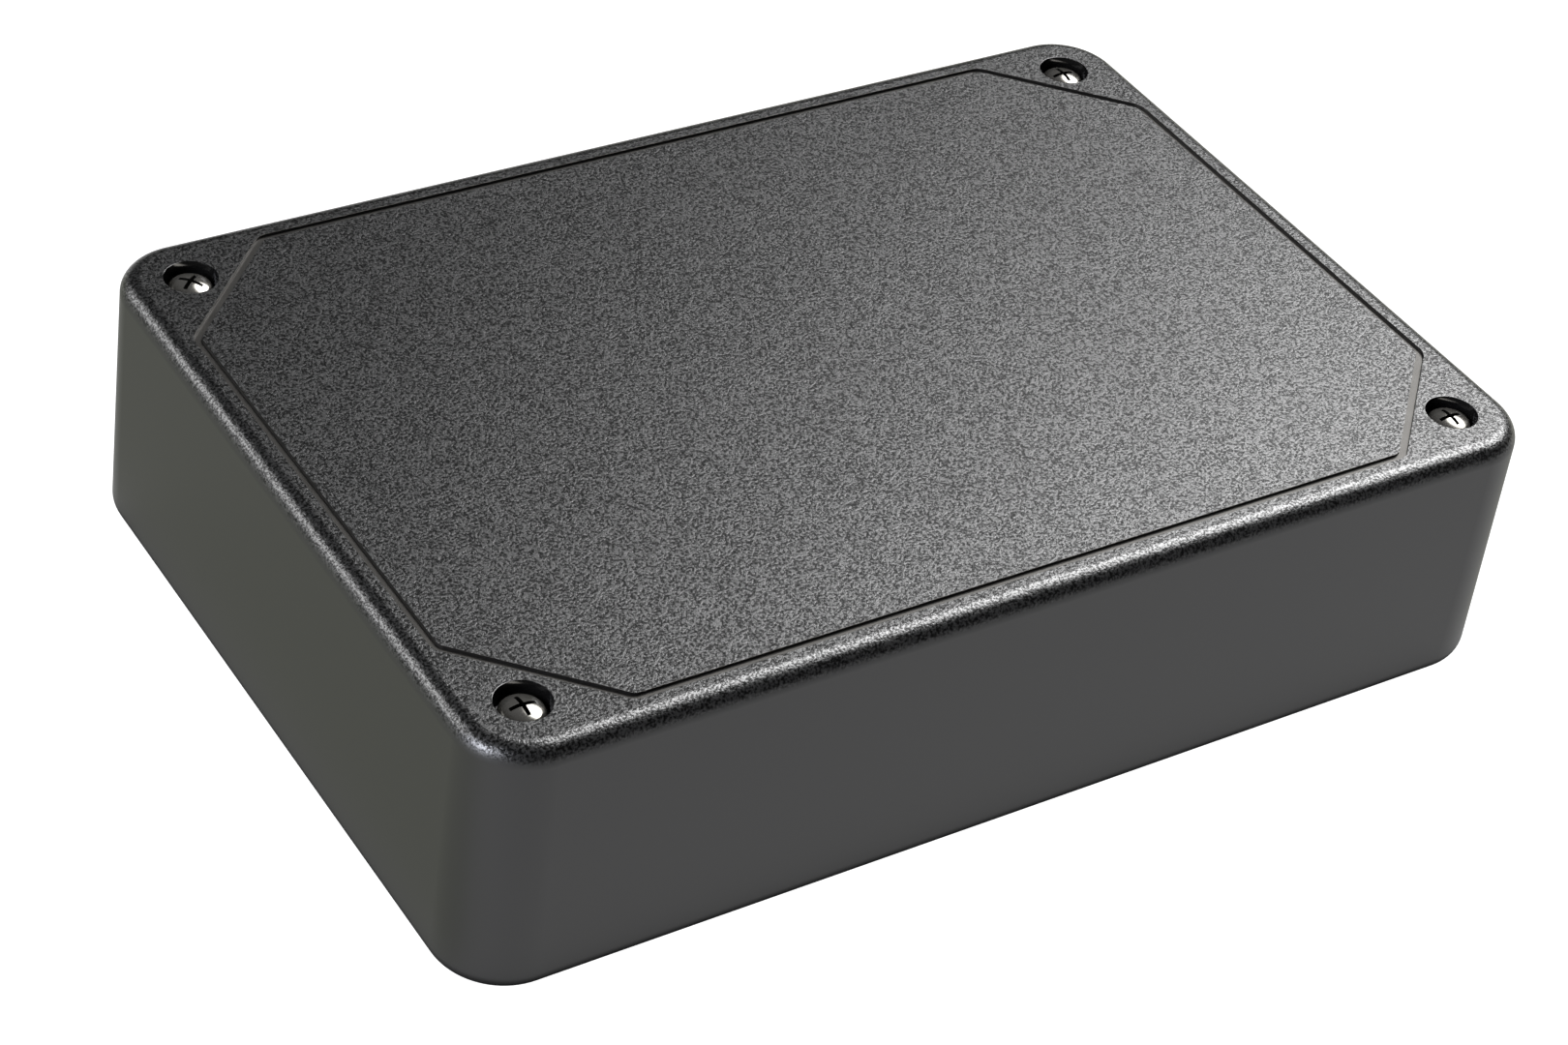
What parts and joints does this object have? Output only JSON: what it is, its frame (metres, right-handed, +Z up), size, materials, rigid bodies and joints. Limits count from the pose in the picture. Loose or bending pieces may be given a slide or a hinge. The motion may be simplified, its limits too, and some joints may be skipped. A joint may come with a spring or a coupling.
{
  "type": "cellular signal booster",
  "caption": "Low rectangular moulded case with a grooved top and sunk corner screws, holding a radio amplifier board with rear antenna and power jacks.",
  "frame": {"origin": "centre of the flat underside of the base plate, on the surface that the booster stands on", "axes": "+X along the length, to the right seen from the plain front wall; +Y towards the back wall, which carries the jacks; +Z up out of the grooved top"},
  "size_m": [0.1648, 0.1212, 0.0397],
  "materials": {
    "cover_plastic": "black moulded ABS, spark-eroded fine grain on the top, smooth satin walls",
    "plate_plastic": "black moulded ABS, satin",
    "nickel_plate": "polished nickel plate on steel",
    "plain_brass": "turned brass",
    "zinc_steel": "zinc-plated steel",
    "board_laminate": "glass-epoxy laminate under green solder mask",
    "tinned_sheet": "bright tinned steel sheet",
    "chip_epoxy": "black moulded epoxy",
    "filter_ceramic": "fired ceramic, unglazed",
    "inductor_ferrite": "pressed iron powder, dull grey",
    "can_aluminium": "drawn aluminium can",
    "gold_plate": "gold plate on turned brass",
    "jack_insulator": "white PTFE",
    "lead_jacket": "brown fluoropolymer jacket",
    "jack_plastic": "black moulded nylon",
    "red_insulation": "red PVC",
    "black_insulation": "black PVC",
    "white_nylon": "natural nylon",
    "lamp_epoxy": "green tinted epoxy",
    "clear_acrylic": "clear moulded acrylic"
  },
  "bodies": {
    "root": {"top_cover": "cover_plastic", "base_plate": "plate_plastic", "cover_screw_1": "nickel_plate", "cover_screw_2": "nickel_plate", "cover_screw_3": "nickel_plate", "cover_screw_4": "nickel_plate", "threaded_insert_1": "plain_brass", "threaded_insert_2": "plain_brass", "threaded_insert_3": "plain_brass", "threaded_insert_4": "plain_brass", "circuit_board": "board_laminate", "board_screw_1": "zinc_steel", "board_screw_2": "zinc_steel", "board_screw_3": "zinc_steel", "board_screw_4": "zinc_steel", "uplink_shield_fence": "tinned_sheet", "uplink_shield_lid": "tinned_sheet", "uplink_amplifier": "chip_epoxy", "downlink_shield_fence": "tinned_sheet", "downlink_shield_lid": "tinned_sheet", "downlink_amplifier": "chip_epoxy", "outside_duplexer": "filter_ceramic", "inside_duplexer": "filter_ceramic", "controller_chip": "chip_epoxy", "power_inductor": "inductor_ferrite", "capacitor_1": "can_aluminium", "capacitor_2": "can_aluminium", "outside_jack_body": "gold_plate", "outside_jack_insulator": "jack_insulator", "outside_jack_contact": "gold_plate", "outside_jack_washer": "gold_plate", "outside_jack_nut": "gold_plate", "outside_lead": "lead_jacket", "outside_lead_plug": "gold_plate", "outside_board_socket": "gold_plate", "inside_jack_body": "gold_plate", "inside_jack_insulator": "jack_insulator", "inside_jack_contact": "gold_plate", "inside_jack_washer": "gold_plate", "inside_jack_nut": "gold_plate", "inside_lead": "lead_jacket", "inside_lead_plug": "gold_plate", "inside_board_socket": "gold_plate", "power_jack_body": "jack_plastic", "power_jack_pin": "nickel_plate", "power_jack_nut": "nickel_plate", "power_jack_lug_1": "nickel_plate", "power_jack_lug_2": "nickel_plate", "power_wire_positive": "red_insulation", "power_wire_negative": "black_insulation", "power_header": "white_nylon", "power_plug": "white_nylon", "lamp_holder_1": "jack_plastic", "lamp_holder_2": "jack_plastic", "status_lamp_1": "lamp_epoxy", "status_lamp_2": "lamp_epoxy", "light_pipe_1": "clear_acrylic", "light_pipe_2": "clear_acrylic"}
  },
  "joints": []
}
